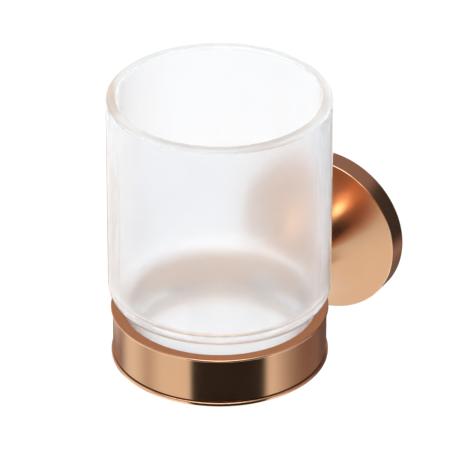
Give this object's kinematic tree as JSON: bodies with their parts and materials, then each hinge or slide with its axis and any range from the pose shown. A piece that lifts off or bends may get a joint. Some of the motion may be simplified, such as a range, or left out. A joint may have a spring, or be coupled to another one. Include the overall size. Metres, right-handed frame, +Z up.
{
  "type": "toothbrush tumbler holder",
  "caption": "Frosted glass toothbrush tumbler standing in a brushed copper ring, carried by a flared arm with a round wall rose.",
  "frame": {"origin": "centre of the round rose on the wall plane", "axes": "+Y points into the wall, +Z is up, +X is to the right for a person facing the wall"},
  "size_m": [0.07, 0.1085, 0.1102],
  "materials": {
    "frosted_glass": "smooth outside, satin etched inside",
    "clear_plastic": "translucent moulded",
    "brushed_copper": "fine brushed, lacquered",
    "steel": "machined",
    "cast_zinc": "die cast, dull"
  },
  "bodies": {
    "root": {"seat_pad": "clear_plastic", "ring_band": "brushed_copper", "base_ring": "brushed_copper", "ring_screw": "steel", "locating_pin_upper": "steel", "locating_pin_lower": "steel", "flared_arm": "brushed_copper", "wall_bracket": "cast_zinc"},
    "tumbler": {"tumbler": "frosted_glass"},
    "grub_screw": {"grub_screw": "steel"}
  },
  "joints": [
    {"name": "tumbler_lift", "type": "slide", "parent": "root", "child": "tumbler", "axis": [0, 0, 1], "range_m": [0, 0.06]},
    {"name": "grub_screw_travel", "type": "slide", "parent": "root", "child": "grub_screw", "axis": [0, 0, -1], "range_m": [0, 0.0024]}
  ]
}
